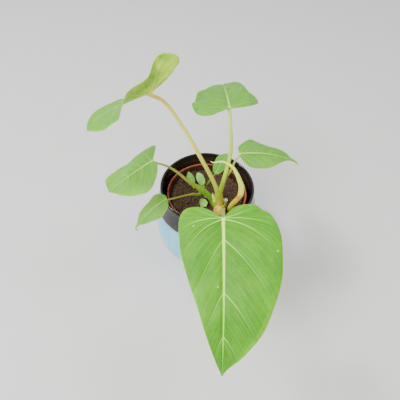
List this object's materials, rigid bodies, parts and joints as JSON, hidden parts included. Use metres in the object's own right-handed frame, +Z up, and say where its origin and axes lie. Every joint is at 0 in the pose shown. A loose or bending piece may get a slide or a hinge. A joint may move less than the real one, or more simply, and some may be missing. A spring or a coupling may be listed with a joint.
{
  "type": "potted philodendron gloriosum plant",
  "caption": "Young heart-leaved philodendron with pale veins, creeping rhizome and long petioles, in a plastic nursery pot set in a glazed ceramic outer pot.",
  "frame": {"origin": "middle of the outer pot's foot, on the surface it stands on", "axes": "+Z up along the pot's axis, and the large front leaf hangs towards -Y"},
  "size_m": [0.2568, 0.3657, 0.3352],
  "materials": {
    "glaze": "gloss",
    "nursery_plastic": "satin",
    "soil": "matte",
    "rhizome": "matte",
    "leaf": "satin",
    "leaf_young": "satin",
    "petiole": "satin",
    "petiole_tan": "satin",
    "cataphyll": "matte",
    "cataphyll_green": "satin"
  },
  "bodies": {
    "root": {"outer_pot": "glaze", "nursery_pot": "nursery_plastic", "soil": "soil", "rhizome": "rhizome", "blade_front": "leaf", "petiole_front": "petiole", "blade_tall": "leaf", "petiole_tall": "petiole_tan", "blade_back": "leaf", "petiole_back": "petiole", "blade_right": "leaf", "petiole_right": "petiole", "blade_left": "leaf", "petiole_left": "petiole", "blade_low": "leaf", "petiole_low": "petiole", "blade_small": "leaf", "petiole_small": "petiole", "shoot_leaf_a": "leaf_young", "shoot_leaf_b": "leaf_young", "shoot_leaf_c": "leaf_young", "cataphyll_curled": "cataphyll", "cataphyll_short": "cataphyll_green", "cataphyll_golden": "cataphyll"}
  },
  "joints": []
}
